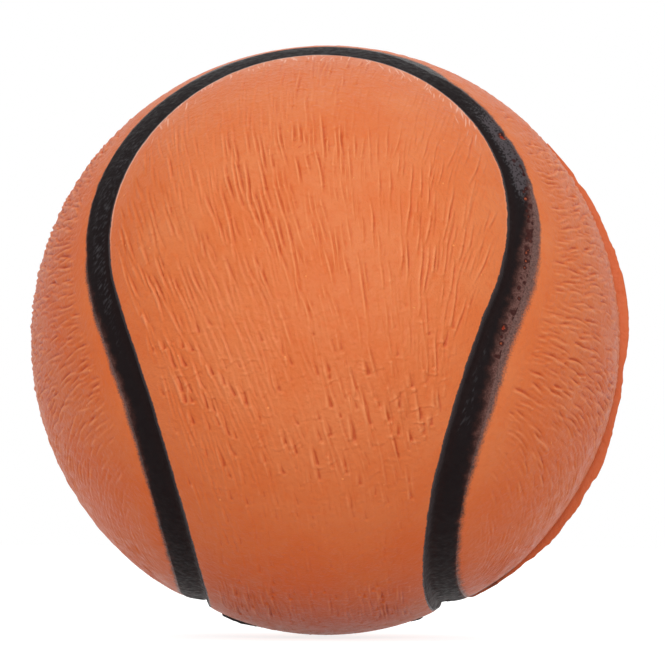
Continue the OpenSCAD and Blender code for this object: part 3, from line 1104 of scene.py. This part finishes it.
# As on the skin, the first orange is painted highlight on ridges and the last painted shade in creases.
flash.data.materials.append(moulded_skin(
    "flash_orange", colour(232, 140, 94), colour(219, 120, 73), colour(216, 112, 64),
    colour(208, 99, 52), colour(174, 66, 34)))

# Seam paint
# Black paint sprayed along the groove after moulding. It ends crisply at the main panel's edge,
# bridges the parting line, and thins out over the flank to a brownish veil and loose specks.
strip_rows = 8
strip_pitch = 0.42 * mm
strip_top = 31
strip_bed = 6
paint_inset = 0.12 * mm
paint_lift = 0.07 * mm
paint_tuck = 0.072 * mm
paint_bed = 0.45 * mm
paint_grain = 0.03 * mm
# How much of the thin spray beyond the solid black the strip carries, and how much of the
# rounding at the parting line it follows. The skin's own colour carries the rest of the spray.
thin_share = 0.6
bridge_share = 0.6


def arc_stations(axis, start, stop, outward):
    """Stations along an arc round an axis, at the strip's pitch and without the last: each one's
    place on the unit ball and the way out from the main panel."""
    x = unit(start - (start @ axis) * axis)
    y = np.cross(axis, x)
    rise, reach = start @ axis, np.linalg.norm(np.cross(start, axis))
    sweep = math.atan2(stop @ y, stop @ x)
    count = max(2, round(abs(sweep) * reach * ball_radius / strip_pitch))
    t = np.linspace(0, sweep, count, endpoint=False)[:, None]
    side = np.cos(t) * x + np.sin(t) * y
    return np.hstack([rise * axis + reach * side, outward * (rise * side - reach * axis)])


quarter = np.vstack([
    arc_stations(crown_axis, crown_start, crown_end, 1), arc_stations(cheek_axis, crown_end, cheek_end, 1),
    arc_stations(neck_axis, cheek_end, neck_end, -1), arc_stations(waist_axis, neck_end, waist_end, -1),
    [[*waist_end, math.cos(waist), 0, math.sin(waist)]]])


def mirrored(x, y):
    """The quarter's stations, with their places and ways out times -1 or 1 on X and on Y."""
    return quarter * (x, y, 1, x, y, 1)


seam = np.vstack([mirrored(1, 1)[:-1], mirrored(1, -1)[:0:-1],
                  mirrored(-1, -1)[:-1], mirrored(-1, 1)[:0:-1]])
# The stations are spread evenly again, so that their number fits the rows of the map.
station = np.linspace(0, len(seam), len(seam) // strip_rows * strip_rows, endpoint=False)
along = station.astype(int)
part = (station - along)[:, None]
seam = (1 - part) * seam[along] + part * seam[(along + 1) % len(seam)]
on, out = seam[:, :3], seam[:, 3:]
# The strip's section: across the groove on top, and back under the surface.
wander = smooth(0, wander_start, np.abs(on[:, 1]) * ball_radius) * by_side(on, wander_left, wander_right)
solid, coat = by_side(on, solid_left, solid_right), by_side(on, coat_left, coat_right)
far = solid + thin_share * (coat - solid)
across = np.concatenate([np.linspace(0, 1, strip_top), np.linspace(1, 0, strip_bed)])
offset = (wander[:, None] + paint_inset + across * (far - paint_inset)[:, None]) / ball_radius
dirs = np.cos(offset)[:, :, None] * on[:, None, :] + np.sin(offset)[:, :, None] * out[:, None, :]
dirs = dirs.reshape(-1, 3)
dirs /= np.linalg.norm(dirs, axis=1)[:, None]
front_radius, marks = skin_radius(dirs, front_salt)
back_radius, back_marks = skin_radius(dirs, back_salt)
to_back = smooth(-1 * mm, 1 * mm, dirs[:, 1] * ball_radius)
radius = front_radius + to_back * (back_radius - front_radius)
marks = {mark: values + to_back * (back_marks[mark] - values) for mark, values in marks.items()}
into = np.clip((mould_land + mould_round - np.abs(dirs[:, 1]) * radius) / mould_round, 0, 1)
radius -= parting_bend(radius) * np.minimum(1 - np.sqrt(1 - into**2), bridge_share)
lift = np.concatenate([np.full(strip_top, paint_lift), np.full(strip_bed, -paint_bed)])
lift[[0, strip_top - 1]] = -paint_tuck
grain = paint_grain * lumps(dirs * ball_radius, 0.8 * mm, 31) * np.tile(lift > 0, len(seam))
radius += np.tile(lift, len(seam)) + grain
strip = laid("seam_coat", dirs * radius[:, None], [hoop_faces(len(seam), len(across))],
             hoop_map(len(seam), len(across), strip_rows), marks)
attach(strip, "root")
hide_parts("seam_paint")

# In the pits the paint is darkened to a reddish brown, partly the thin coat over the reddish foam
# and partly painted shade in the hollow; the foam shows bare in some, and the chip is redder.
satin_black, tree, shader = new_finish("sprayed_black", 0.5, 0.07)
painted, _ = sprayed(tree, colour(206, 96, 52))
pit = mark_of(tree, "pit")
pit_shade_and_chip = tinted(tree, painted, colour(52, 20, 18), pit, 0.2, 0.5, 0.85)
bare = sums(tree, "MULTIPLY", between(tree, pit, 0.6, 0.9), between(tree, mottle(tree, 1.3 * mm), 0.5, 0.6))
pit_shade_and_chip = blended(tree, bare, pit_shade_and_chip, colour(168, 84, 54))
pit_shade_and_chip = tinted(tree, pit_shade_and_chip, colour(142, 46, 28), pit, 1.15, 1.6)
tree.links.new(pit_shade_and_chip, shader.inputs["Base Color"])
tree.links.new(between(tree, mottle(tree, 1.4 * mm, 3), 0.3, 0.7, 0.45, 0.65), shader.inputs["Roughness"])
bumped(tree, shader, [(mottle(tree, 1.3 * mm, 4), 0.22 * mm), (mottle(tree, 0.3 * mm), 0.04 * mm)])
strip.data.materials.append(satin_black)
